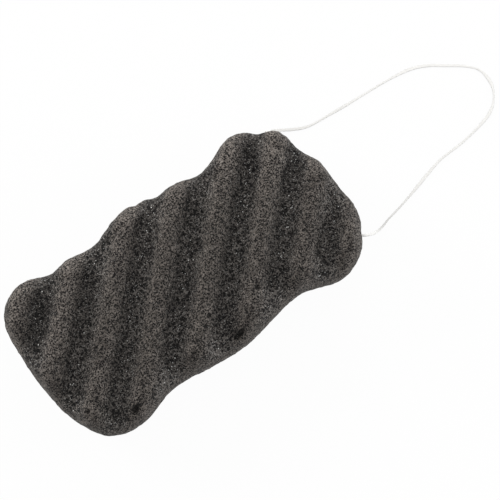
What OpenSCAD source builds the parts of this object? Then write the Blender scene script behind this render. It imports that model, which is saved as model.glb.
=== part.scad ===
// Wave-topped konjac sponge with a thin string loop through one end.
// +X runs along the sponge to the end with the string, +Z is up, the flat foot is at z = 0.
// The sponge is lofted: closed rings go up its sides, and chords along the waves close the top.

/* [Body] */
// Length of the sponge, end to end
body_l = 150; // [110:1:200]
// Width across the widest lobes
body_w = 79; // [60:0.2:100]
// Height of the highest wave crest
body_h = 32; // [24:1:46]
// How far an ordinary waist draws in
waist_d = 5.6; // [0:0.1:8]
// How far an ordinary small lobe stands out of the outline, or a small notch in
lobe_d = 1; // [0:0.1:1.4]
// Height of the widest line round the sides
widest_z = 13; // [8:0.5:16]
// How far the rounded top edge reaches in from the outline
brow_r = 7; // [4:0.5:9]
// How far the rounded bottom edge reaches in from the outline
foot_r = 5.5; // [2:0.5:8]
// How much lower the top lies towards the outline than in the middle
crown_h = 2.5; // [0:0.1:5]

/* [Waves] */
// Distance from one wave to the next, square to the waves
wave_pitch = 18.6; // [14:0.2:30]
// Depth of a trough below its crests
wave_d = 5.8; // [2:0.1:9]
// Turn of the waves from the long axis, in degrees
wave_turn = 46.8; // [40:0.2:60]
// Distance from the middle of the sponge to the nearest trough
wave_shift = -0.8; // [-9:0.1:9]
// Narrowness of the troughs: 1 is an even wave
trough_power = 1.1; // [0.7:0.05:2]

/* [String] */
// Diameter of the soft string
string_d = 1.1; // [0.8:0.1:1.6]
// Height of the channel that the string is pulled through
channel_z = 10.5; // [8:0.5:14]
// Space between the string and the channel
channel_gap = 0.15; // [0.1:0.05:0.4]
// How deep the free loop starts inside each mouth of the channel
mouth_in = 0.6; // [0.3:0.1:2]
// How far the string stands straight out of each mouth before it bends
mouth_out = 0.8; // [0.6:0.1:3]
// Half the length of the hidden knot
knot_r = 2.9; // [2.8:0.1:4]
// How far the string rises and dips where it crosses itself in the knot
knot_rise = 0.9; // [0.85:0.05:1.2]
// Space left in the sponge round the knot
knot_gap = 0.4; // [0.2:0.1:1]

/* [Hidden] */

body_grey = [0.30, 0.29, 0.28];
string_white = [0.94, 0.94, 0.92];

// Each long side from above, from the string's end to the far one: lobe, waist, lobe, waist,
// lobe. Each has its place as a share of half the length and its draw-in as a share of waist_d.
upper_stop_shares = [[0.63, 0], [0.4, 0.9], [-0.04, 0.18], [-0.49, 1.12], [-0.76, 0.55]];
lower_stop_shares = [[0.71, 0.62], [0.43, 1.45], [0.01, 0.45], [-0.36, 0.92], [-0.64, 0]];
// Where each end is foremost, as a share of half the width
near_tip_share = -0.24;
far_tip_share = 0.2;
// Squareness of the four corners: 2 is an ellipse, more is squarer
upper_near_power = 2.15;
upper_far_power = 2.7;
lower_far_power = 2.6;
lower_near_power = 2.1;
side_steps = 10;
corner_steps = 20;
// Small lobes and notches that the moulded waves leave round the outline: the turn about the
// sponge's middle, and how far it stands out as a share of lobe_d
lobe_shares = [
    [0, -0.6], [9, 0.5], [15, -0.6], [25, 1.7], [31, -0.5], [37.5, 1.25], [45, 0.25], [50, -0.05],
    [59, 1.1], [65, 0.7], [77, -1.2], [86, 0.4], [91, 0], [96, 0.9], [110, 0.2], [116, -0.6],
    [125, -1], [138, 1.6], [143.5, -0.9], [147, 0.7], [152, -0.3], [161, 0.5], [170, -0.2],
    [186, -0.5], [200, -0.3], [208, 0.3], [224, -0.4], [230, 0.1], [246, 0.3], [262, -0.1],
    [285, 0.3], [304, 0.6], [315, 0.3], [321, -0.5], [328, 0.1], [335, 0.3], [340, -0.3], [345, 0.35],
    [351, 0.5], [356, -0.25], [360, -0.6]
];

// Rings up the side, as angles: -90 is the edge of the flat foot, 0 the widest line and
// 90 the edge of the wavy top
ring_angles = [-90, -55, -25, 0, 22, 44, 66, 90];
brow_power = 2.4;
// Chords of each wave, as degrees of its turn from the bottom of the trough
chord_phases = [0, 50, 75, 105, 140, 220, 255, 285, 310];
// Extra chords near both tips of the top, as shares of tip_zone
tip_shares = [0.03, 0.12, 0.27, 0.48, 0.75];
tip_zone = wave_pitch / 4;
// Parts that a chord of the top is cut into
chord_parts = 3;

// The channel's two mouths, as turns about the sponge's middle in degrees
left_mouth_turn = 25.8;
right_mouth_turn = 341.5;
// How far the channel's cut runs past its mouths
overrun = 6;

// Half of the knot, from the middle of its back to where the string leaves it: along the
// channel and up as shares of knot_r, and across as a share of knot_rise
knot_shares = [
    [0, 0.86, 0], [-0.66, 0.68, -0.55], [-1, -0.02, -1], [-0.86, -0.68, -0.75], [-0.4, -0.84, 0.2],
    [0, -0.6, 1], [0.45, -0.3, 0.3], [0.95, -0.02, -1], [1.35, 0.02, -0.4]
];
// Where the knot's string is back on the channel's line, and where it ends, as shares of knot_r
knot_line_share = 1.7;
knot_end_share = 2.1;

// Route of the free loop from its left mouth to its right one, at the string's underside: it
// droops to the surface beside each mouth and then lies flat
loop_points = [
    [64.25, 33.4, 9.55], [64.1, 34.45, 8.5], [64.05, 34.8, 7.1], [64.2, 34.75, 5.45],
    [64.7, 34.95, 3.45], [65.8, 35.1, 1.55], [67.4, 35.1, 0.5], [69.1, 34.75, 0.1],
    [70.9, 33.75, 0.1], [72.7, 32.6, 0.1], [75.8, 30.6, 0.1], [82.2, 28, 0.1], [92.3, 27.2, 0.1],
    [102.4, 26.4, 0.1], [112.4, 25.9, 0.1], [122.9, 25.3, 0.1], [132.9, 23.9, 0.1],
    [140.4, 21.3, 0.1], [147.4, 16.7, 0.1], [154, 11.8, 0.1], [158.2, 6.3, 0.1], [158.6, -1, 0.1],
    [155.6, -7.2, 0.1], [150.4, -11.2, 0.1], [142.9, -13.4, 0.1], [132.9, -15.1, 0.1],
    [120.9, -16.1, 0.1], [111.2, -18.5, 0.1], [101, -21.5, 0.1], [91.9, -23.8, 0.1],
    [86.8, -24.9, 0.1], [83.75, -26.25, 0.1], [82.15, -26.65, 0.3], [80.25, -26.9, 1.25],
    [78.35, -27.1, 2.85], [76.55, -27.15, 4.55], [75, -27.1, 6.25], [73.7, -27.35, 7.85],
    [72.75, -27, 8.95], [72, -26.05, 9.7]
];
// Longest steps of the tubes along the free loop and along the knot
loop_ring = 3.5;
knot_ring = 1.1;
string_sides = 8;

// Points and lists
function unit(v) = v / norm(v);
function blend(a, b, t) = a + (b - a) * t;
function eased(t) = (1 - cos(180 * t)) / 2;
function reversed(list) = [for (i = [len(list) - 1 : -1 : 0]) list[i]];

// Outline at the widest line, counterclockwise from the foremost point of the string's end
half_l = body_l / 2;
half_w = body_w / 2;
function stop_point(stop, side) = [stop[0] * half_l, side * (half_w - stop[1] * waist_d)];
function long_side(stops, side) = [
    for (i = [0 : len(stops) - 2], k = [0 : side_steps - 1])
        let (a = stop_point(stops[i], side), b = stop_point(stops[i + 1], side), t = k / side_steps)
            [blend(a.x, b.x, t), blend(a.y, b.y, eased(t))]
];
// A corner turns from the tip of its end (0) to its lobe (90)
function corner_point(tip, lobe, square, turn) = [
    blend(lobe.x, tip.x, pow(cos(turn), 2 / square)),
    blend(tip.y, lobe.y, pow(sin(turn), 2 / square))
];
function corner_from_tip(tip, lobe, square) =
    [for (k = [0 : corner_steps - 1]) corner_point(tip, lobe, square, 90 * k / corner_steps)];
function corner_to_tip(tip, lobe, square) =
    [for (k = [corner_steps : -1 : 1]) corner_point(tip, lobe, square, 90 * k / corner_steps)];

near_tip = [half_l, near_tip_share * half_w];
far_tip = [-half_l, far_tip_share * half_w];
upper_near = stop_point(upper_stop_shares[0], 1);
upper_far = stop_point(upper_stop_shares[4], 1);
lower_near = stop_point(lower_stop_shares[0], -1);
lower_far = stop_point(lower_stop_shares[4], -1);
plain_outline = concat(
    corner_from_tip(near_tip, upper_near, upper_near_power),
    long_side(upper_stop_shares, 1),
    corner_to_tip(far_tip, upper_far, upper_far_power),
    corner_from_tip(far_tip, lower_far, lower_far_power),
    long_side(reversed(lower_stop_shares), -1),
    corner_to_tip(near_tip, lower_near, lower_near_power)
);
outline_n = len(plain_outline);
// Direction square out of a line's point, and a point's turn about the middle
function out_of(line, i) =
    let (run = unit(line[(i + 1) % outline_n] - line[(i + outline_n - 1) % outline_n]))
        [run.y, -run.x];
function turn_of(p) = (atan2(p.y, p.x) + 360) % 360;

// The small lobes are added, and the outline is fitted to its length and width
function small_lobe(turn) =
    let (
        k = max([for (i = [0 : len(lobe_shares) - 2]) if (lobe_shares[i][0] <= turn) i]),
        a = lobe_shares[k],
        b = lobe_shares[k + 1]
    )
    lobe_d * blend(a[1], b[1], eased((turn - a[0]) / (b[0] - a[0])));
lobed_outline = [
    for (i = [0 : outline_n - 1])
        plain_outline[i] + small_lobe(turn_of(plain_outline[i])) * out_of(plain_outline, i)
];
box_low = [min([for (p = lobed_outline) p.x]), min([for (p = lobed_outline) p.y])];
box_high = [max([for (p = lobed_outline) p.x]), max([for (p = lobed_outline) p.y])];
box_mid = (box_low + box_high) / 2;
box_size = box_high - box_low;
function fitted(line) =
    [for (p = line) [(p.x - box_mid.x) * body_l / box_size.x, (p.y - box_mid.y) * body_w / box_size.y]];
outline = fitted(lobed_outline);

// The edge of the wavy top: the outline without its small lobes, drawn in by brow_r
inner_outline = fitted(plain_outline);
brow = [for (i = [0 : outline_n - 1]) inner_outline[i] - brow_r * out_of(inner_outline, i)];

// Distance of a point across the waves, and the two tips where the chords shrink to nothing
across = [sin(wave_turn), -cos(wave_turn)];
brow_across = [for (p = brow) p * across];
low_tip = search(min(brow_across), brow_across)[0];
high_tip = search(max(brow_across), brow_across)[0];
low_across = brow_across[low_tip];
high_across = brow_across[high_tip];
function way(from, to) =
    [for (k = [0 : (to - from + outline_n) % outline_n]) (from + k) % outline_n];
right_way = way(low_tip, high_tip);
left_way = reversed(way(high_tip, low_tip));

// Where the chords cross the waves
first_wave = floor((low_across - wave_shift) / wave_pitch);
last_wave = ceil((high_across - wave_shift) / wave_pitch);
chords = concat(
    [low_across],
    [for (share = tip_shares) low_across + share * tip_zone],
    [
        for (wave = [first_wave : last_wave], phase = chord_phases)
            let (place = wave_shift + wave_pitch * (wave + phase / 360))
                if (place > low_across + tip_zone && place < high_across - tip_zone) place
    ],
    [for (share = reversed(tip_shares)) high_across - share * tip_zone],
    [high_across]
);
last_chord = len(chords) - 1;

// Where a chord meets one side: the place on the brow, and its partner on the outline
function met(line, side_way, place) = [
    lookup(place, [for (i = side_way) [brow_across[i], line[i].x]]),
    lookup(place, [for (i = side_way) [brow_across[i], line[i].y]])
];
// The feet of all chords, round the top: along one side and back along the other
function feet(line) = concat(
    [for (place = chords) met(line, right_way, place)],
    [for (k = [last_chord - 1 : -1 : 1]) met(line, left_way, chords[k])]
);
brow_feet = feet(brow);
outline_feet = feet(outline);
feet_n = len(brow_feet);

// Height of the top over a point of the plan
function trough(p) =
    eased(pow(eased(1 + 2 * (p * across - wave_shift) / wave_pitch), trough_power));
function crown_fall(p) = 1 - (1 - pow(p.x / half_l, 2)) * (1 - pow(p.y / half_w, 2));
function top_z(p) = body_h - wave_d * trough(p) - crown_h * crown_fall(p);

// A point of a ring: below the widest line the side draws in by foot_r, above it by brow_r
function ring_point(i, turn) =
    let (
        square = turn < 0 ? 2 : brow_power,
        inward = 1 - pow(cos(turn), 2 / square),
        reach = turn < 0 ? foot_r / brow_r : 1,
        plan = blend(outline_feet[i], brow_feet[i], inward * reach),
        rise = pow(abs(sin(turn)), 2 / square)
    )
    [plan.x, plan.y, blend(widest_z, turn < 0 ? 0 : top_z(brow_feet[i]), rise)];

rings_n = len(ring_angles);
ring_points = [for (turn = ring_angles, i = [0 : feet_n - 1]) ring_point(i, turn)];
// Points of the top between the feet of its chords
chord_points = [
    for (k = [1 : last_chord - 1], m = [1 : chord_parts - 1])
        let (p = blend(brow_feet[k], brow_feet[feet_n - k], m / chord_parts)) [p.x, p.y, top_z(p)]
];
// Index of point m of chord k, where a ring is closed by chords of that many parts
function chord_index(ring, k, m, parts) =
    m == 0 || k == 0 || k == last_chord ? ring * feet_n + k :
    m == parts ? ring * feet_n + feet_n - k :
    rings_n * feet_n + (k - 1) * (parts - 1) + m - 1;

// Triangles of the bands between rings, each of n points, and of the cap of chords over a ring
function band_faces(rings, n) = [
    for (ring = [0 : rings - 2], i = [0 : n - 1])
        let (a = ring * n + i, b = ring * n + (i + 1) % n) each [[a, a + n, b], [b, a + n, b + n]]
];
function cap_faces(ring, parts) = [
    for (k = [0 : last_chord - 1], m = [0 : parts - 1])
        let (
            a = chord_index(ring, k, m, parts),
            b = chord_index(ring, k + 1, m, parts),
            c = chord_index(ring, k + 1, m + 1, parts),
            d = chord_index(ring, k, m + 1, parts)
        )
            each [if (b != c) [a, b, c], if (a != d) [a, c, d]]
];
function flipped(faces) = [for (face = faces) reversed(face)];

// The string's frame at a point of its path: sideways, then up
function sideways(run) = unit(cross([0, 0, 1], run));
function upwards(run) = cross(run, sideways(run));
function path_run(path, i) = unit(path[min(i + 1, len(path) - 1)] - path[max(i - 1, 0)]);

// A closed tube along a path, which starts and ends square to its first and last step
module tube(path) {
    n = string_sides;
    points = [
        for (i = [0 : len(path) - 1], k = [0 : n - 1])
            let (run = path_run(path, i), turn = 360 * k / n)
                path[i] + string_d / 2 * (cos(turn) * sideways(run) + sin(turn) * upwards(run))
    ];
    last = (len(path) - 1) * n;
    polyhedron(points, concat(
        [for (k = [1 : n - 2]) [0, k, k + 1]],
        [for (k = [1 : n - 2]) [last, last + k + 1, last + k]],
        band_faces(len(path), n)
    ));
}

// Smooth curve through points, by its four neighbours: steps of each span from its length
function bend(a, b, c, d, t) =
    b + t / 2 * (c - a + t * (2 * a - 5 * b + 4 * c - d + t * (3 * (b - c) + d - a)));
function curve(points, ring) = [
    for (i = [1 : len(points) - 3])
        let (steps = ceil(norm(points[i + 1] - points[i]) / ring))
            for (k = [0 : steps - 1])
                bend(points[i - 1], points[i], points[i + 1], points[i + 2], k / steps)
];

// The channel runs straight between the two mouths
function on_outline(turn) = [
    lookup(turn, [for (p = outline) [turn_of(p), p.x]]),
    lookup(turn, [for (p = outline) [turn_of(p), p.y]])
];
left_mouth = on_outline(left_mouth_turn);
right_mouth = on_outline(right_mouth_turn);
channel_mid = (left_mouth + right_mouth) / 2;
channel_run = unit(left_mouth - right_mouth);
channel_l = norm(left_mouth - right_mouth);
channel_turn = atan2(channel_run.y, channel_run.x);
// A point of the channel, from its middle towards the left mouth
function in_channel(along) = [
    channel_mid.x + along * channel_run.x, channel_mid.y + along * channel_run.y, channel_z
];

// Path of the free loop, from inside the left mouth to inside the right one
function loop_path() =
    let (
        start = channel_l / 2 - mouth_in,
        stand = channel_l / 2 + mouth_out,
        lying = [for (p = loop_points) p + [0, 0, string_d / 2]],
        ends = [in_channel(start), in_channel(stand), in_channel(-stand), in_channel(-start)]
    )
    concat(
        [ends[0]],
        curve(concat([ends[0], ends[1]], lying, [ends[2], ends[3]]), loop_ring),
        [ends[2], ends[3]]
    );

// Path of the knot: the shares, mirrored end for end about the middle of its back
knot_side = [-channel_run.y, channel_run.x, 0];
function knot_point(share, way) =
    in_channel(way * share[0] * knot_r) + [0, 0, share[1] * knot_r]
        + way * share[2] * knot_rise * knot_side;
knot_reach = knot_end_share * knot_r;
function knot_path() =
    let (
        half = concat(knot_shares, [[knot_line_share, 0, 0]]),
        there = [for (k = [len(half) - 1 : -1 : 1]) knot_point(half[k], -1)],
        back = [for (share = half) knot_point(share, 1)],
        ends = [in_channel(-knot_reach), in_channel(knot_reach)]
    )
    concat([ends[0]], curve(concat([ends[0]], there, back, [ends[1]]), knot_ring),
        [knot_point(half[len(half) - 1], 1), ends[1]]);

// Least gap of a string to itself, between points more than three diameters apart along it
function step_l(path, i) = i < len(path) - 1 ? norm(path[i + 1] - path[i]) : 0;
function lengths(path) = [for (i = 0, l = 0; i < len(path); l = l + step_l(path, i), i = i + 1) l];
function least_gap(path) =
    let (along = lengths(path))
    min([
        for (i = [0 : len(path) - 2], k = [i + 1 : len(path) - 1])
            if (along[k] - along[i] > 3 * string_d) norm(path[k] - path[i]) - string_d
    ]);
echo(knot_least_gap = least_gap(knot_path()));
echo(loop_least_gap = least_gap(loop_path()));

// The moulded sponge, with the channel through its end and room for the knot
module sponge_body() {
    color(body_grey)
    difference() {
        polyhedron(
            concat(ring_points, chord_points),
            concat(
                band_faces(rings_n, feet_n),
                cap_faces(0, 1),
                flipped(cap_faces(rings_n - 1, chord_parts))
            )
        );
        translate(in_channel(0))
        rotate([0, 90, channel_turn])
        cylinder(d = string_d + 2 * channel_gap, h = channel_l + 2 * overrun, center = true, $fn = 32);
        translate(in_channel(0))
        rotate([90, 0, channel_turn])
        cylinder(
            r = knot_line_share * knot_r + knot_gap,
            h = 2 * knot_rise + string_d + 2 * knot_gap, center = true, $fn = 48
        );
    }
}

// The string's straight stretches in the channel, between the knot and each mouth
module string_run_left() {
    color(string_white) tube([in_channel(knot_reach), in_channel(channel_l / 2 - mouth_in)]);
}
module string_run_right() {
    color(string_white) tube([in_channel(mouth_in - channel_l / 2), in_channel(-knot_reach)]);
}

// The knot that closes the string, out of sight in the sponge
module string_knot() {
    color(string_white) tube(knot_path());
}

// The free loop that the sponge is carried and hung up by
module hang_loop() {
    color(string_white) tube(loop_path());
}

sponge_body();
string_run_left();
string_knot();
string_run_right();
hang_loop();
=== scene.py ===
import bpy
import numpy as np
from mathutils import Matrix, Vector


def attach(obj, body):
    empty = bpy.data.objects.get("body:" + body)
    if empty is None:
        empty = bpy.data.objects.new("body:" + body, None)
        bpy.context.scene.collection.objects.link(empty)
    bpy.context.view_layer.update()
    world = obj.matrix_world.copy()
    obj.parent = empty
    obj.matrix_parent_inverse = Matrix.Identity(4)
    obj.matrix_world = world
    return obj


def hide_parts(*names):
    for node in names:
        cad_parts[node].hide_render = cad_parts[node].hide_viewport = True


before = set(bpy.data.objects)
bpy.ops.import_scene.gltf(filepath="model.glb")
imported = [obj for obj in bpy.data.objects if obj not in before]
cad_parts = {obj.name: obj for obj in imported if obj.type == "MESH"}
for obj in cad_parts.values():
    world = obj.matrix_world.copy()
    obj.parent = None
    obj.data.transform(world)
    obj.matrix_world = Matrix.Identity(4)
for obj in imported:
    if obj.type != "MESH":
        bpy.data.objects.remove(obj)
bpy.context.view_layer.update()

mm = 0.001  # shapes are worked out in mm, Blender counts in metres


# helpers for shapes: they take and give whole arrays, lengths in mm

def eased(t):
    # half a cosine wave: 0 at 0, 1 at 1, level at both ends
    return (1 - np.cos(np.pi * t)) / 2


def risen(value, start, span):
    # 0 up to the start, then evenly up to 1 over the span
    return np.clip((value - start) / span, 0, 1)


def readOff(table, at):
    # a table's value at each place, eased from one of its rows to the next
    places, values = np.array(table).T
    k = np.clip(np.searchsorted(places, at, side="right") - 1, 0, len(places) - 2)
    part = eased(risen(at, places[k], places[k + 1] - places[k]))
    return values[k] + (values[k + 1] - values[k]) * part


def unitRows(vectors):
    # each row over its own length
    return vectors / np.linalg.norm(vectors, axis=-1, keepdims=True)


def hashed(cells, seed):
    # each cell's three whole numbers are multiplied by primes and mixed to a share from 0 to 1
    mixed = cells[..., 0] * 73856093 ^ cells[..., 1] * 19349663 ^ cells[..., 2] * 83492791
    mixed = (mixed + seed * 7919) & 0x7FFFFFFF
    mixed = ((mixed ^ mixed >> 15) * 668265261) & 0x7FFFFFFF
    mixed = ((mixed ^ mixed >> 13) * 374761393) & 0x7FFFFFFF
    return ((mixed ^ mixed >> 16) & 0xFFFFFF) / 0xFFFFFF


def lumps(points, size, seed):
    # values from -1 to 1 at the corners of cubes of that size, blended smoothly in between
    scaled = points / size
    cell = np.floor(scaled).astype(np.int64)
    part = scaled - cell
    part = part * part * (3 - 2 * part)
    total = np.zeros(len(points))
    for corner in np.ndindex(2, 2, 2):
        weight = np.prod(np.where(np.array(corner) == 1, part, 1 - part), axis=1)
        total += weight * hashed(cell + np.array(corner), seed)
    return total * 2 - 1


def hollows(points, size, chance, radii, seed):
    # one bubble at most in each cube of that size, well inside it, most of them small:
    # 1 at a bubble's middle, less the square of the way out, 0 from its radius on
    cell = np.floor(points / size).astype(np.int64)
    deepest = np.zeros(len(points))
    for corner in np.ndindex(3, 3, 3):
        home = cell + np.array(corner) - 1
        middle = [(home[:, k] + 0.15 + 0.7 * hashed(home, seed + k)) * size for k in range(3)]
        radius = radii[0] + (radii[1] - radii[0]) * hashed(home, seed + 3) ** 2
        away = np.linalg.norm(points - np.stack(middle, 1), axis=1) / radius
        there = hashed(home, seed + 4) < chance
        deepest = np.maximum(deepest, np.where(there, 1 - np.minimum(away, 1) ** 2, 0))
    return deepest


def gridFaces(rows, columns):
    # quads between neighbouring rows, each row a closed ring
    row, column = np.meshgrid(np.arange(rows - 1), np.arange(columns), indexing="ij")
    a = row * columns + column
    b = row * columns + (column + 1) % columns
    return np.stack([a, b, b + columns, a + columns], -1).reshape(-1, 4).tolist()


def newPiece(name, points, faces):
    # points in mm; the object stays at the origin, its place is in its mesh
    mesh = bpy.data.meshes.new(name)
    mesh.from_pydata((np.asarray(points) * mm).tolist(), [], faces)
    mesh.validate()
    piece = bpy.data.objects.new(name, mesh)
    bpy.context.collection.objects.link(piece)
    return piece


def meshPoints(mesh):
    # where each vertex is, in mm
    values = np.empty(len(mesh.vertices) * 3)
    mesh.vertices.foreach_get("co", values)
    return values.reshape(-1, 3) / mm


def meshNormals(mesh):
    # which way each vertex faces
    values = np.empty(len(mesh.vertices) * 3)
    mesh.vertex_normals.foreach_get("vector", values)
    return values.reshape(-1, 3)


def pointAttribute(mesh, name, values):
    # one number for each vertex, for a material to read
    mesh.attributes.new(name, "FLOAT", "POINT").data.foreach_set("value", values.astype(np.float32))


def smoothShaded(mesh):
    # every face takes its shading from its vertices
    mesh.polygons.foreach_set("use_smooth", [True] * len(mesh.polygons))


# camera, fitted to the photograph's outline: angles in degrees, lens and sensor in mm, its
# distance and aim in metres

camera = {"turn": -41.849, "height": 78.333, "roll": 7.476, "distance": 0.70327,
          "aim": (0.027903, -0.005161, 0.016), "lens": 121.62, "sensor": 36, "nearest": 0.01}


def placeCamera(s):
    # it stands back from its aim: turned about Z from -Y, raised by its height, then rolled
    turn, height, roll = np.radians([s["turn"], s["height"], s["roll"]])
    back = Vector((np.sin(turn) * np.cos(height), -np.cos(turn) * np.cos(height), np.sin(height)))
    right = Vector((np.cos(turn), np.sin(turn), 0))
    up = back.cross(right)
    rolledRight = right * np.cos(roll) + up * np.sin(roll)
    rolledUp = up * np.cos(roll) - right * np.sin(roll)
    data = bpy.data.cameras.new("camera")
    data.lens, data.sensor_width, data.clip_start = s["lens"], s["sensor"], s["nearest"]
    eye = bpy.data.objects.new("camera", data)
    bpy.context.collection.objects.link(eye)
    turned = Matrix((rolledRight, rolledUp, back)).transposed().to_4x4()
    eye.matrix_world = Matrix.Translation(Vector(s["aim"]) + back * s["distance"]) @ turned
    bpy.context.scene.camera = eye


placeCamera(camera)
print("camera placed")


# the string: its free loop, lying on the floor, from one mouth in the sponge to the other

string = {
    "diameter": 1.1, "length": 221.3, "exit": (64.45, 31.15, 10.5),
    # it is soft: thicker at its ends, and flat from that far from them on
    "endThickness": 1, "thickness": 0.38, "flatFrom": 2, "flatOver": 12,
    # 2 makes the section an ellipse, more makes its sides flatter
    "squareness": 4, "across": 24, "step": 0.45,
    # it leans up to this much to either side (radians), in stretches of that length
    "tilt": 0.2, "tiltSize": 9,
    # the height of its middle from which it is off the floor, and over what rise
    "liftedFrom": 0.65, "liftedOver": 2.5,
    # distance along it, and how wide it lies there
    "widths": [
        (0, 1), (14, 1.1), (25, 1.3), (34, 0.8), (46, 1.2), (61, 0.75), (68, 0.8), (82, 1.4),
        (100, 1.15), (112, 0.8), (118, 1.45), (127, 0.7), (136, 1.4), (148, 0.9), (157, 1),
        (163, 0.85), (178, 1.4), (191, 0.8), (199, 0.75), (212, 1.2), (222, 1),
    ],
    # its underside on the way; the first and the last point only lead it in
    "route": [
        (64.6, 29.7, 9.95), (64.5, 30.6, 9.95), (64.35, 31.95, 9.9),
        (64.25, 33.4, 9.55), (64.1, 34.45, 8.5), (64.05, 34.8, 7.1), (64.2, 34.75, 5.45),
        (64.7, 34.95, 3.45), (65.8, 35.1, 1.55), (67.4, 35.1, 0.5), (69.1, 34.6, 0.1),
        (70.8, 33.5, 0.1), (72.6, 32.4, 0.1), (75.8, 30.6, 0.1), (82.2, 28, 0.1), (92.3, 27.2, 0.1),
        (102.4, 26.6, 0.1), (112.4, 26.2, 0.1), (123, 25.7, 0.1), (133.1, 24.4, 0.1),
        (140.5, 21.5, 0.1), (147.5, 16.8, 0.1), (154.2, 12, 0.1), (158.7, 6.5, 0.1), (159.1, -1.1, 0.1),
        (155.8, -7.3, 0.1), (150.5, -11.3, 0.1), (142.9, -13.6, 0.1), (132.9, -15.3, 0.1),
        (120.9, -16.2, 0.1), (111.2, -18.6, 0.1), (101, -21.6, 0.1), (91.9, -23.9, 0.1),
        (87, -24.9, 0.1), (83.75, -25.95, 0.3), (81.65, -26.5, 1.1), (79.6, -26.9, 2.25),
        (77.75, -27.05, 3.75), (76.05, -26.95, 5.45), (74.45, -26.75, 7.25), (73.1, -26.5, 8.65),
        (72, -26.1, 9.6), (70.9, -25.4, 9.95), (69.8, -24.7, 9.95), (68.8, -24.1, 9.95),
    ],
}


def smoothPath(points, step):
    # each span is the cubic through its ends that runs, at each end, parallel to the line between
    # that end's two neighbours
    made = []
    for a, b, c, d in zip(points[:-3], points[1:-2], points[2:-1], points[3:]):
        steps = max(2, int(np.ceil(np.linalg.norm(c - b) / step)))
        t = (np.arange(steps) / steps)[:, None]
        made.append(b + t / 2 * (c - a + t * (2 * a - 5 * b + 4 * c - d + t * (3 * (b - c) + d - a))))
    return np.concatenate(made + [points[-2:-1]])


def makeString(s):
    # an oval with flattened sides, carried along the path: half the width to either side times
    # cos to the power 2 / squareness, half the thickness up and down times sin to that power
    def squared(t):
        # the sine or cosine to that power, with its sign
        return np.sign(t) * np.abs(t) ** (2 / s["squareness"])

    path = smoothPath(np.array(s["route"]) + [0, 0, s["diameter"] / 2], s["step"])
    run = unitRows(np.gradient(path, axis=0))
    along = np.concatenate([[0], np.cumsum(np.linalg.norm(np.diff(path, axis=0), axis=1))])
    sideways = unitRows(np.cross([0, 0, 1.0], run))
    upwards = np.cross(run, sideways)
    # thick at its ends, flat from there on, and with a lean that changes along it
    ends = np.minimum(along, along[-1] - along)
    width = readOff(s["widths"], along)
    flat = eased(risen(ends, s["flatFrom"], s["flatOver"]))
    thick = s["endThickness"] - (s["endThickness"] - s["thickness"]) * flat
    tilt = s["tilt"] * lumps(np.stack([along, 0 * along, 0 * along], 1), s["tiltSize"], 5)
    # where it isn't lifted it comes down by what it is thinner, so that it lies on the floor
    lowered = path[:, 2] - (s["diameter"] - thick) / 2
    lifted = risen(path[:, 2], s["liftedFrom"], s["liftedOver"])
    path[:, 2] = path[:, 2] * lifted + lowered * (1 - lifted)
    around = np.linspace(0, 2 * np.pi, s["across"], endpoint=False)
    a = (0.5 * width[:, None] * squared(np.cos(around)))[..., None]
    b = (0.5 * thick[:, None] * squared(np.sin(around)))[..., None]
    turn = tilt[:, None, None]
    side, up = sideways[:, None], upwards[:, None]
    points = path[:, None] + (a * np.cos(turn) - b * np.sin(turn)) * side \
        + (a * np.sin(turn) + b * np.cos(turn)) * up
    rows, columns = points.shape[:2]
    faces = gridFaces(rows, columns)
    faces += [list(range(columns))[::-1], list(range((rows - 1) * columns, rows * columns))]
    piece = newPiece("stringLoop", points.reshape(-1, 3), faces)
    pointAttribute(piece.data, "liftedShare", np.repeat(lifted, columns))
    smoothShaded(piece.data)
    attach(piece, "root")
    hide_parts("hang_loop")
    (path * mm).tolist()
    return piece


stringLoop = makeString(string)
print("string laid")


# the sponge: outline, rounded sides and wavy top much as in the CAD, then its pores

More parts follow.
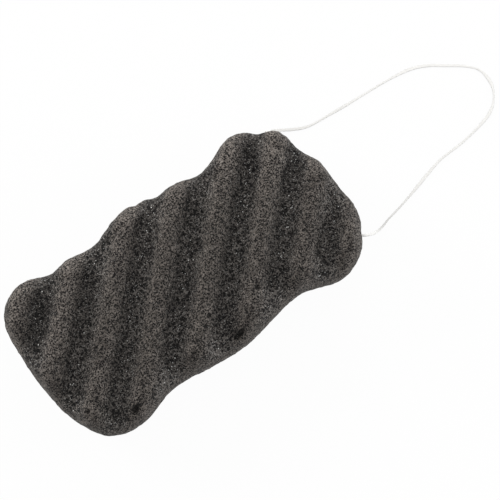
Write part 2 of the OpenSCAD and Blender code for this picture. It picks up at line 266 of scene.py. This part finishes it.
sponge = {
    "length": 150, "width": 79, "height": 32, "waistDepth": 5.6, "lobeDepth": 1,
    "widest": 13, "browReach": 7, "footReach": 5.5, "crown": 2.5,
    "wavePitch": 18.6, "waveDepth": 5.8, "waveTurn": 46.8,
    # fitted to the photograph's light and dark, a little off the CAD's
    "waveShift": -0.4, "troughPower": 0.85,
    # lobes and waists of each long side, from the string's end: share of half the length, share of
    # waistDepth that the outline stands in
    "upperStops": [(0.63, 0), (0.4, 0.9), (-0.04, 0.18), (-0.49, 1.12), (-0.76, 0.55)],
    "lowerStops": [(0.71, 0.62), (0.43, 1.45), (0.01, 0.45), (-0.36, 0.92), (-0.64, 0)],
    # where the two ends reach furthest, as a share of half the width
    "nearTip": -0.24, "farTip": 0.2,
    # how full the corners and the brow are: 2 is a circle's arc, more is squarer
    "upperNear": 2.15, "upperFar": 2.7, "lowerFar": 2.6, "lowerNear": 2.1, "browPower": 2.4,
    # small lobes round the outline: turn about the middle in degrees, share of lobeDepth
    "lobes": [
        (0, -0.6), (9, 0.5), (15, -0.6), (25, 1.7), (31, -0.5), (37.5, 1.25), (45, 0.25),
        (50, -0.05), (59, 1.1), (65, 0.7), (77, -1.2), (86, 0.4), (91, 0), (96, 0.9), (110, 0.2),
        (116, -0.6), (125, -1), (138, 1.6), (143.5, -0.9), (147, 0.7), (152, -0.3), (161, 0.5),
        (170, -0.2), (186, -0.5), (200, -0.3), (208, 0.3), (224, -0.4), (230, 0.1), (246, 0.3),
        (262, -0.1), (285, 0.3), (304, 0.6), (315, 0.3), (321, -0.5), (328, 0.1), (335, 0.3),
        (340, -0.3), (345, 0.35), (351, 0.5), (356, -0.25), (360, -0.6),
    ],
    # steps of the mesh: of a side and a corner of the outline, rings of the foot, side and top
    "sideSteps": 34, "cornerSteps": 64, "footRings": 24, "sideRings": 41, "topRings": 111,
    "voxel": 0.57, "smoothing": 0.5, "smoothTimes": 2,
    # how far the surface swells and sinks, and over lumps of what size
    "swelling": [(0.3, 13), (0.16, 5.5), (0.1, 2.2), (0.16, 1.5)],
    # pores and bubbles: size of the cubes with one in each, share that has one, smallest and
    # largest radius, seed
    "pores": (2.1, 0.8, (0.5, 1.25), 11), "bubbles": (8.5, 0.5, (0.6, 1.2), 23),
    # how deep they are at most, and how much more pores have in a trough
    "poreDepth": 0.28, "bubbleDepth": 0.8, "troughExtra": 0.3,
    # broken bubbles that the photograph shows: x, y, half length, half width, turn, depth
    "openBubbles": [
        (2.9, -33.2, 3.3, 1.5, 9, 1.7), (-48.5, -34.9, 2, 1.7, 30, 1.9),
        (-17.2, -30.3, 2.2, 1.8, 20, 0.42), (-13.5, -29.5, 1.2, 1, 70, 0.6),
        (-48.5, -5.4, 1.6, 1.3, 30, 0.9), (-64.9, -25.2, 1.3, 1.1, 20, 0.7),
        (-3.1, -20.5, 1.4, 1.1, 40, 0.8), (-6.5, -23.4, 1.3, 1.1, 0, 0.8),
        (19.5, -21.8, 1.5, 1.3, 80, 0.9), (26.5, 3.7, 1.3, 1, 80, 0.8),
    ],
    "bowlSlope": 2.2,  # how steep their walls are
    # the string draws the skin in a little at each mouth
    "mouthDepth": 0.9, "mouthReach": 2.6,
    # start and span of what counts as facing up (a normal's z), as the wavy top (height), and as
    # clear of the floor (height); pits are shallower below that height, and at least this deep
    "facingUp": (0, 0.5), "onTop": (16, 6), "clear": (0.8, 4), "fullPits": 1.5, "leastPits": 0.25,
    # start and span of the +Y edge where painted shade and light lie: way from the middle to the
    # outline, share of half the width
    "nearEdge": (0.3, 0.35), "plusSide": (0, 0.25),
}


def spongeOutline(s):
    # the outline's rings of points, and the brow's: corners are superellipse arcs, between them
    # run the long sides, and small lobes stand out square to that line
    halfLength, halfWidth = s["length"] / 2, s["width"] / 2

    def stops(table, side):
        # shares of the half length and of waistDepth made x and y
        return np.array([(x * halfLength, side * (halfWidth - y * s["waistDepth"])) for x, y in table])

    def longSide(places):
        # from each lobe or waist to the next: x runs evenly, y is eased
        t = np.arange(s["sideSteps"]) / s["sideSteps"]
        a, b = places[:-1, None], places[1:, None]
        x = a[..., 0] + (b - a)[..., 0] * t
        y = a[..., 1] + (b - a)[..., 1] * eased(t)
        return np.stack([x, y], -1).reshape(-1, 2)

    def corner(tip, lobe, power, fromTip):
        # a quarter of |x|^power + |y|^power = 1, stretched between an end's tip and a lobe
        turn = np.arange(s["cornerSteps"]) if fromTip else np.arange(s["cornerSteps"], 0, -1)
        turn = turn / s["cornerSteps"] * np.pi / 2
        x = lobe[0] + (tip[0] - lobe[0]) * np.abs(np.cos(turn)) ** (2 / power)
        y = tip[1] + (lobe[1] - tip[1]) * np.abs(np.sin(turn)) ** (2 / power)
        return np.stack([x, y], -1)

    def outOf(line):
        # square to the line from the point before to the point after, away from the middle
        run = unitRows(np.roll(line, -1, 0) - np.roll(line, 1, 0))
        return np.stack([run[:, 1], -run[:, 0]], 1)

    upper, lower = stops(s["upperStops"], 1), stops(s["lowerStops"], -1)
    nearTip = np.array([halfLength, s["nearTip"] * halfWidth])
    farTip = np.array([-halfLength, s["farTip"] * halfWidth])
    plain = np.concatenate([
        corner(nearTip, upper[0], s["upperNear"], True), longSide(upper),
        corner(farTip, upper[-1], s["upperFar"], False),
        corner(farTip, lower[-1], s["lowerFar"], True), longSide(lower[::-1]),
        corner(nearTip, lower[0], s["lowerNear"], False),
    ])
    turn = np.degrees(np.arctan2(plain[:, 1], plain[:, 0])) % 360
    stand = s["lobeDepth"] * readOff(s["lobes"], turn)
    lobed = plain + stand[:, None] * outOf(plain)
    low, high = lobed.min(0), lobed.max(0)
    scale = np.array([s["length"], s["width"]]) / (high - low)
    outline, inner = ((line - (low + high) / 2) * scale for line in (lobed, plain))
    return outline, inner - s["browReach"] * outOf(inner)


def troughWave(points, s, power=1):
    # 0 along a crest and 1 along a trough: an eased wave to that power, eased once more; below 1
    # the power makes troughs wider
    turn = np.radians(s["waveTurn"])
    across = points[..., 0] * np.sin(turn) - points[..., 1] * np.cos(turn)
    pitches = (across - s["waveShift"]) / s["wavePitch"]
    return eased(eased(1 + 2 * pitches) ** power)


def towardsEdge(points, s):
    # 0 in the middle of the top, 1 where x or y reaches half the length or width
    x, y = points[..., 0] / (s["length"] / 2), points[..., 1] / (s["width"] / 2)
    return 1 - (1 - x ** 2) * (1 - y ** 2)


def topHeight(points, s):
    # crest height, less the waves, less a crown that falls towards the outline
    trough = troughWave(points, s, s["troughPower"])
    return s["height"] - s["waveDepth"] * trough - s["crown"] * towardsEdge(points, s)


def plainSponge(s):
    # rings from the middle of the foot out, up the rounded side and in over the waves; the side
    # is a quarter of an ellipse below its widest line and of a superellipse above it
    outline, brow = spongeOutline(s)
    turn = np.radians(np.linspace(-90, 90, s["sideRings"]))[:, None]
    power = np.where(turn < 0, 2, s["browPower"])
    inward = (1 - np.abs(np.cos(turn)) ** (2 / power)) \
        * np.where(turn < 0, s["footReach"] / s["browReach"], 1)
    plan = outline + (brow - outline) * inward[..., None]
    edge = np.where(turn < 0, 0, topHeight(brow, s))
    z = s["widest"] + (edge - s["widest"]) * np.abs(np.sin(turn)) ** (2 / power)
    sides = np.concatenate([plan, z[..., None]], -1)
    foot = plan[0] * (np.arange(1, s["footRings"]) / s["footRings"])[:, None, None]
    foot = np.concatenate([foot, np.zeros(foot.shape[:2] + (1,))], -1)
    top = brow * (np.arange(s["topRings"] - 1, 0, -1) / s["topRings"])[:, None, None]
    top = np.concatenate([top, topHeight(top, s)[..., None]], -1)
    rings = np.concatenate([foot, sides, top])
    rows, columns = rings.shape[:2]
    # the middle of the foot and of the top close it
    ends = np.array([(0, 0, 0), (0, 0, topHeight(np.zeros(2), s))])
    ring = np.arange(columns)
    nextOne = (ring + 1) % columns
    first, last = rows * columns, rows * columns + 1
    above = (rows - 1) * columns
    faces = gridFaces(rows, columns)
    faces += np.stack([nextOne, ring, np.full(columns, first)], 1).tolist()
    faces += np.stack([ring + above, nextOne + above, np.full(columns, last)], 1).tolist()
    return newPiece("sponge", np.concatenate([rings.reshape(-1, 3), ends]), faces)


def remeshed(piece, s):
    # the same surface in even faces of the voxel's size, its corners softened
    changer = piece.modifiers.new("even", "REMESH")
    changer.mode, changer.voxel_size, changer.adaptivity = "VOXEL", s["voxel"] * mm, 0
    smoother = piece.modifiers.new("soft", "SMOOTH")
    smoother.factor, smoother.iterations = s["smoothing"], s["smoothTimes"]
    mesh = bpy.data.meshes.new_from_object(piece.evaluated_get(bpy.context.evaluated_depsgraph_get()))
    piece.modifiers.clear()
    piece.data = mesh
    mesh.name = piece.name
    return mesh


def openBubbles(points, s):
    # oval bowls in the top: full depth in the middle of each, eased to 0 towards its edge
    depth = np.zeros(len(points))
    for x, y, length, width, turn, deep in s["openBubbles"]:
        turn = np.radians(turn)
        dx, dy = points[:, 0] - x, points[:, 1] - y
        u = (dx * np.cos(turn) + dy * np.sin(turn)) / length
        v = (dy * np.cos(turn) - dx * np.sin(turn)) / width
        bowl = eased(np.clip(s["bowlSlope"] * (1 - np.hypot(u, v)), 0, 1))
        depth = np.maximum(depth, deep * bowl)
    return depth


def drawnIn(points, s):
    # full depth at a mouth of the string, eased to 0 at its reach
    depth = np.zeros(len(points))
    for mouth in (string["route"][2], string["route"][-3]):
        away = np.linalg.norm(points - mouth, axis=1)
        depth = np.maximum(depth, s["mouthDepth"] * eased(np.clip(1 - away / s["mouthReach"], 0, 1)))
    return depth


def makeSponge(s):
    # each point moves along its normal: out by the swelling, in by the deepest pore or bubble
    # there and by the draw of the string
    piece = plainSponge(s)
    mesh = remeshed(piece, s)
    points, normals = meshPoints(mesh), meshNormals(mesh)
    print("sponge has", len(points), "points")
    swell = sum(far * lumps(points, size, seed) for seed, (far, size) in enumerate(s["swelling"], 1))
    upper = risen(normals[:, 2], *s["facingUp"])
    wave = troughWave(points, s)
    troughShare = wave * eased(risen(points[:, 2], *s["onTop"])) * upper
    pores = (s["poreDepth"] + s["troughExtra"] * troughShare) * hollows(points, *s["pores"])
    pits = np.maximum(pores, s["bubbleDepth"] * hollows(points, *s["bubbles"]))
    opened = openBubbles(points, s) * upper
    # the foot stays level: little swelling and shallow pits near the floor
    outward = swell * eased(risen(points[:, 2], *s["clear"]))
    inward = np.maximum(pits, opened) * np.clip(points[:, 2] / s["fullPits"], s["leastPits"], 1)
    moved = points + normals * (outward - inward - drawnIn(points, s))[:, None]
    moved[:, 2] = np.maximum(moved[:, 2], 0)
    mesh.vertices.foreach_set("co", (moved * mm).ravel())
    # towards the +Y edge the colour gets painted shade in the troughs and painted light on the crests
    upperEdge = risen(towardsEdge(points, s), *s["nearEdge"]) \
        * risen(points[:, 1] / (s["width"] / 2), *s["plusSide"])
    pointAttribute(mesh, "troughShare", troughShare)
    pointAttribute(mesh, "edgeWave", upperEdge * (2 * wave - 1))
    pointAttribute(mesh, "pitDepth", pits)
    pointAttribute(mesh, "openDepth", opened)
    smoothShaded(mesh)
    mesh.update()
    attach(piece, "root")
    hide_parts("sponge_body")
    return piece


spongePiece = makeSponge(sponge)
print("sponge moulded")


# materials: a pattern's sizes are in mm

class Wire:
    # a node's output that does sums: every operator adds a Math node
    def __init__(self, maker, socket):
        self.maker, self.socket = maker, socket

    def worked(self, operation, a, b):
        # a and b, sockets or numbers, through one Math node
        return self.maker.add("ShaderNodeMath", {"operation": operation}, {0: a, 1: b})

    def __add__(self, other): return self.worked("ADD", self, other)
    def __radd__(self, other): return self.worked("ADD", other, self)
    def __sub__(self, other): return self.worked("SUBTRACT", self, other)
    def __rsub__(self, other): return self.worked("SUBTRACT", other, self)
    def __mul__(self, other): return self.worked("MULTIPLY", self, other)
    def __rmul__(self, other): return self.worked("MULTIPLY", other, self)


class Maker:
    # one material (or the world) and the nodes that go into it
    def __init__(self, owner):
        owner.use_nodes = True
        self.tree = owner.node_tree
        self.tree.nodes.clear()

    def add(self, kind, settings=(), values=(), output=0):
        # one node: its settings first, then a link or a number for each socket that is named
        node = self.tree.nodes.new(kind)
        for name, value in dict(settings).items():
            if name == "stops":
                ramp = node.color_ramp
                while len(ramp.elements) < len(value):
                    ramp.elements.new(0.5)
                for element, (place, colour) in zip(ramp.elements, value):
                    element.position, element.color = place, colour
            else:
                setattr(node, name, value)
        for name, value in dict(values).items():
            if isinstance(value, Wire):
                self.tree.links.new(value.socket, node.inputs[name])
            else:
                node.inputs[name].default_value = value
        return Wire(self, node.outputs[output]) if len(node.outputs) else node

    def place(self):
        # where a point is on its piece
        return self.add("ShaderNodeTexCoord", output="Object")

    def attribute(self, name):
        # a number that the mesh keeps for each of its points
        return self.add("ShaderNodeAttribute", {"attribute_name": name}, output="Fac")

    def noise(self, where, size, detail=2.0, rough=0.5):
        # soft noise about 0.5, in lumps of that size
        return self.add("ShaderNodeTexNoise", {}, {
            "Vector": where, "Scale": 1 / (size * mm), "Detail": detail, "Roughness": rough})

    def between(self, value, low, high, start=0.0, end=1.0):
        # smooth step from start at low to end at high
        return self.add("ShaderNodeMapRange", {"interpolation_type": "SMOOTHSTEP"}, {
            "Value": value, "From Min": low, "From Max": high, "To Min": start, "To Max": end})

    def most(self, a, b):
        # the larger of two numbers
        return self.add("ShaderNodeMath", {"operation": "MAXIMUM"}, {0: a, 1: b})

    def mixed(self, share, a, b, blend="MIX"):
        # colour a, and as much of b as the share says
        return self.add("ShaderNodeMix", {"data_type": "RGBA", "blend_type": blend},
                        {0: share, 6: a, 7: b}, output=2)

    def tinted(self, colour, value, dark, pale):
        # colour times a tint that runs from the dark one's place and factor to the pale one's
        tint = self.add("ShaderNodeValToRGB", {"stops": (dark, pale)}, {"Fac": value})
        return self.mixed(1.0, colour, tint, "MULTIPLY")

    def bubbles(self, where, size, seed=0.0):
        # cells of that size: the distance from each one's middle, and a chance number of its own
        moved = self.add("ShaderNodeVectorMath", {"operation": "ADD"}, {0: where, 1: (seed, seed, 0)})
        away = self.add("ShaderNodeTexVoronoi", {"voronoi_dimensions": "3D", "feature": "F1"},
                        {"Vector": moved, "Scale": 1 / (size * mm)}, output="Distance")
        colour = Wire(self, away.socket.node.outputs["Color"])
        return away, self.add("ShaderNodeSeparateColor", {}, {"Color": colour}, output="Red")

    def bump(self, height, strength, distance, before=None):
        # height times distance, on top of the bump before it
        values = {"Height": height, "Strength": strength, "Distance": distance * mm}
        if before:
            values["Normal"] = before
        return self.add("ShaderNodeBump", {}, values)

    def seenShare(self):
        # 1 for what the camera sees, straight, mirrored or through glass; 0 for light that falls
        straight = self.add("ShaderNodeLightPath", output="Is Camera Ray")
        mirrored, through = (Wire(self, straight.socket.node.outputs[kind])
                             for kind in ("Is Glossy Ray", "Is Transmission Ray"))
        return self.most(self.most(straight, mirrored), through)

    def finish(self, values):
        # the shader and the output
        shader = self.add("ShaderNodeBsdfPrincipled", {}, values)
        self.add("ShaderNodeOutputMaterial", {}, {"Surface": shader})


konjacFinish = {
    # crest: warmer, painted light of a warm lamp on the crests; trough: less warm, painted shade in the
    # troughs
    "crest": (0.053, 0.0472, 0.0427, 1), "trough": (0.0525, 0.0483, 0.045, 1),
    # pore: near black, painted shade that stands for the shadow inside pores and pits
    "pore": (0.007, 0.0067, 0.0064, 1), "glint": (0.4, 0.39, 0.375, 1), "gleam": (0.9, 0.9, 0.88, 1),
    # glint and gleam: pale colours, painted highlights of the specks
    "roughness": 0.82, "glintSpan": 0.42,
    "cloud": 9, "patch": 3.2, "mottle": 0.6, "grain": 0.42,
    # size of the cells with a pore or a speck in each, how far from its middle its edge starts and
    # ends (in cells), how much of that chance takes off, and how much a trough adds
    "smallPore": 0.84, "smallEdge": (0.42, 0.5), "smallSpread": 0.17,
    "widePore": 1.45, "wideEdge": (0.25, 0.45), "wideSpread": 0.5, "troughSpread": 0.2,
    "spark": 0.6, "sparkEdge": (0.15, 0.45),
    # depths over which a pore or a broken bubble of the mesh turns dark with painted shade
    "pitShadeDepths": (0.12, 0.7), "openShadeDepths": (0.1, 0.75), "wideShare": 0.9, "openShare": 0.75,
    # chance numbers from which a speck gets a painted glint or gleam, and how strongly a glint is
    # painted
    "glintFrom": (0.78, 0.86), "troughChance": 0.05, "gleamFrom": (0.955, 0.97),
    "glintShare": 0.25, "troughGlint": 0.65,
    # strength and depth of the bumps
    "poreBump": (1.0, 0.7), "poreLow": 0.8, "grainBump": (0.5, 0.2),
    # where on the noise the darkest and the palest lie, and what they make of the colour
    "patchDark": (0.3, (0.72, 0.72, 0.72, 1)), "patchPale": (0.7, (1.3, 1.3, 1.3, 1)),
    "mottleDark": (0.36, (0.25, 0.25, 0.25, 1)), "mottlePale": (0.64, (2.97, 2.95, 2.91, 1)),
    # how strongly painted shade darkens the troughs and painted light brightens the crests near the +Y
    # edge
    "edgeShadeStrength": 0.36,
}


def konjacMaterial(s):
    # a grey that is clouded, patchy and mottled, with painted light and shade along the waves, less dark
    # pores of painted shade, plus pale specks painted as glints on glossier spots
    material = bpy.data.materials.new("konjacGel")
    m = Maker(material)
    where = m.place()
    trough = m.attribute("troughShare")
    # a pore's radius is a matter of chance; troughs have the wider ones, so more painted shade lies
    # there; the last number shifts the cells, so that no two patterns lie alike
    smallAway, smallChance = m.bubbles(where, s["smallPore"])
    wideAway, wideChance = m.bubbles(where, s["widePore"], 0.3)
    smallPore = m.between(smallAway + s["smallSpread"] * smallChance, *s["smallEdge"], 1, 0)
    widePore = m.between(wideAway + s["wideSpread"] * wideChance - s["troughSpread"] * trough,
                         *s["wideEdge"], 1, 0)
    # painted shade in the mesh's own pits and broken bubbles, darker the deeper they are
    hollow = m.between(m.attribute("pitDepth"), *s["pitShadeDepths"]) \
        + m.between(m.attribute("openDepth"), *s["openShadeDepths"])
    poreShadeShare = m.add("ShaderNodeMath", {"operation": "ADD", "use_clamp": True}, {
        0: smallPore, 1: widePore * s["wideShare"] + hollow * s["openShare"]})
    # crest and trough colours blend along the waves, with cloudy noise: painted warm light on crests,
    # painted shade in troughs
    cloud = m.between(trough + 0.5 * (m.noise(where, s["cloud"], 3) - 0.5), 0.1, 0.9)
    clouded = m.mixed(cloud, s["crest"], s["trough"])
    patchy = m.tinted(clouded, m.noise(where, s["patch"]), s["patchDark"], s["patchPale"])
    # painted shade in the troughs and painted light on the crests near the +Y edge
    edgeShaded = m.mixed(1.0, patchy, 1 - s["edgeShadeStrength"] * m.attribute("edgeWave"), "MULTIPLY")
    mottled = m.tinted(edgeShaded, m.noise(where, s["mottle"], 2, 0.6), s["mottleDark"], s["mottlePale"])
    # pores and pits take the near-black colour: painted shade in the holes
    porous = m.mixed(poreShadeShare, mottled, s["pore"])
    # one cell in five or so gets a painted glint and is glossier, in troughs more strongly, and a few
    # there a brighter painted gleam
    sparkAway, sparkChance = m.bubbles(where, s["spark"], 0.7)
    sparkShape = m.between(sparkAway, *s["sparkEdge"], 1, 0)
    spark = sparkShape * m.between(sparkChance + s["troughChance"] * trough, *s["glintFrom"])
    paintedGlints = m.mixed(spark * (s["glintShare"] + s["troughGlint"] * trough), porous, s["glint"])
    paintedGleams = sparkShape * m.between(sparkChance * trough, *s["gleamFrom"])
    pitted = m.bump(1 - s["poreLow"] * widePore - s["poreLow"] * smallPore, *s["poreBump"])
    m.finish({
        "Base Color": m.mixed(paintedGleams, paintedGlints, s["gleam"]),
        "Roughness": s["roughness"] - spark * s["glintSpan"],
        "Normal": m.bump(m.noise(where, s["grain"], 2, 0.7), *s["grainBump"], pitted),
        "IOR": 1.38, "Specular IOR Level": 0.22, "Sheen Weight": 0.05, "Sheen Roughness": 0.4,
    })
    return material


stringFinish = {
    "fibre": (0.925, 0.918, 0.897, 1), "shadowed": (0.895, 0.888, 0.865, 1), "roughness": 0.8,
    "fuzz": 0.8, "stain": 9, "shadowFrom": (0.35, 0.65), "roughSpan": 0.1,
    # how much of the shading is the loose fibres' own, and what of that is lost off the floor
    "fluff": 0.88, "liftedLoss": 0.45,
}


def stringMaterial(s):
    # soft white fibre, a little greyer in places, with a shading normal that is turned up
    material = bpy.data.materials.new("softString")
    m = Maker(material)
    where = m.place()
    fuzz, stain = m.noise(where, s["fuzz"], 3, 0.6), m.noise(where, s["stain"])
    greyer = m.between(fuzz * 0.5 + stain * 0.5, *s["shadowFrom"])
    # fine fibres on all sides catch the light from above, most where it lies
    lying = 1 - s["liftedLoss"] * m.attribute("liftedShare")
    fluffy = m.add("ShaderNodeNormalMap", {"space": "OBJECT"}, {
        "Strength": lying * s["fluff"], "Color": (0.5, 0.5, 1, 1)})
    m.finish({
        "Base Color": m.mixed(greyer, s["fibre"], s["shadowed"]),
        "Roughness": s["roughness"] + s["roughSpan"] * fuzz, "Specular IOR Level": 0.2, "Normal": fluffy,
    })
    return material


def dress(piece, material):
    # this material and no other
    piece.data.materials.clear()
    piece.data.materials.append(material)


dress(spongePiece, konjacMaterial(konjacFinish))
softString = stringMaterial(stringFinish)
dress(stringLoop, softString)
for node in ("string_run_left", "string_knot", "string_run_right"):
    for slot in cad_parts[node].material_slots:
        slot.material = softString
print("materials made")


# floor, world and lamps: a white tent, with low lamps round the sponge, the strongest of them at
# the photograph's upper left

studio = {
    "white": (1, 1, 1, 1), "world": 0.53,
    # the floor's share of plain white keeps the object's shadow faint
    "floorSize": 3.0, "floorColour": (0.95, 0.95, 0.95, 1), "floorGlow": 0.96,
    "lamps": [
        # name, turn from +X and height in degrees, distance and size in metres, power, colour
        ("keyLamp", 118, 18, 1.9, 1.0, 26.5, (1.0, 0.985, 0.965)),
        ("backLamp", 50, 15, 1.3, 0.8, 9.4, (1.0, 1.0, 1.0)),
        ("fillLamp", -28, 8, 1.2, 0.6, 9.6, (0.98, 0.99, 1.0)),
        ("nearLamp", -110, 10, 1.6, 1.0, 1.8, (1.0, 1.0, 1.0)),
    ],
}


def makeFloor(s):
    # a square at height 0, white to the camera apart from a little of its own shaded colour
    half = s["floorSize"] / 2 / mm
    floor = newPiece("floor", [(-half, -half, 0), (half, -half, 0), (half, half, 0), (-half, half, 0)],
                     [[0, 1, 2, 3]])
    material = bpy.data.materials.new("paleFloor")
    m = Maker(material)
    diffuse = m.add("ShaderNodeBsdfDiffuse", {}, {"Color": s["floorColour"]})
    glow = m.add("ShaderNodeEmission", {}, {"Color": s["white"], "Strength": 1.0})
    shown = m.add("ShaderNodeMixShader", {}, {0: m.seenShare() * s["floorGlow"], 1: diffuse, 2: glow})
    m.add("ShaderNodeOutputMaterial", {}, {"Surface": shown})
    dress(floor, material)


def makeWorld(s):
    # white where it is seen, dimmer as a light
    world = bpy.data.worlds.new("whiteStudio")
    bpy.context.scene.world = world
    w = Maker(world)
    lit = w.add("ShaderNodeBackground", {}, {"Color": s["white"], "Strength": s["world"]})
    seen = w.add("ShaderNodeBackground", {}, {"Color": s["white"], "Strength": 1.0})
    shown = w.add("ShaderNodeMixShader", {}, {0: w.seenShare(), 1: lit, 2: seen})
    w.add("ShaderNodeOutputWorld", {}, {"Surface": shown})


def makeLamps(s):
    # round lamps on rays from the origin, each facing back along its ray
    for name, turn, height, distance, size, power, colour in s["lamps"]:
        turn, height = np.radians([turn, height])
        toLamp = Vector((np.cos(turn) * np.cos(height), np.sin(turn) * np.cos(height), np.sin(height)))
        data = bpy.data.lights.new(name, "AREA")
        data.shape, data.size, data.energy, data.color = "DISK", size, power, colour
        lamp = bpy.data.objects.new(name, data)
        lamp.location = toLamp * distance
        lamp.rotation_euler = toLamp.to_track_quat("Z", "Y").to_euler()
        bpy.context.collection.objects.link(lamp)


makeFloor(studio)
makeWorld(studio)
makeLamps(studio)
bpy.context.scene.view_settings.view_transform = "Standard"
print("studio lit")
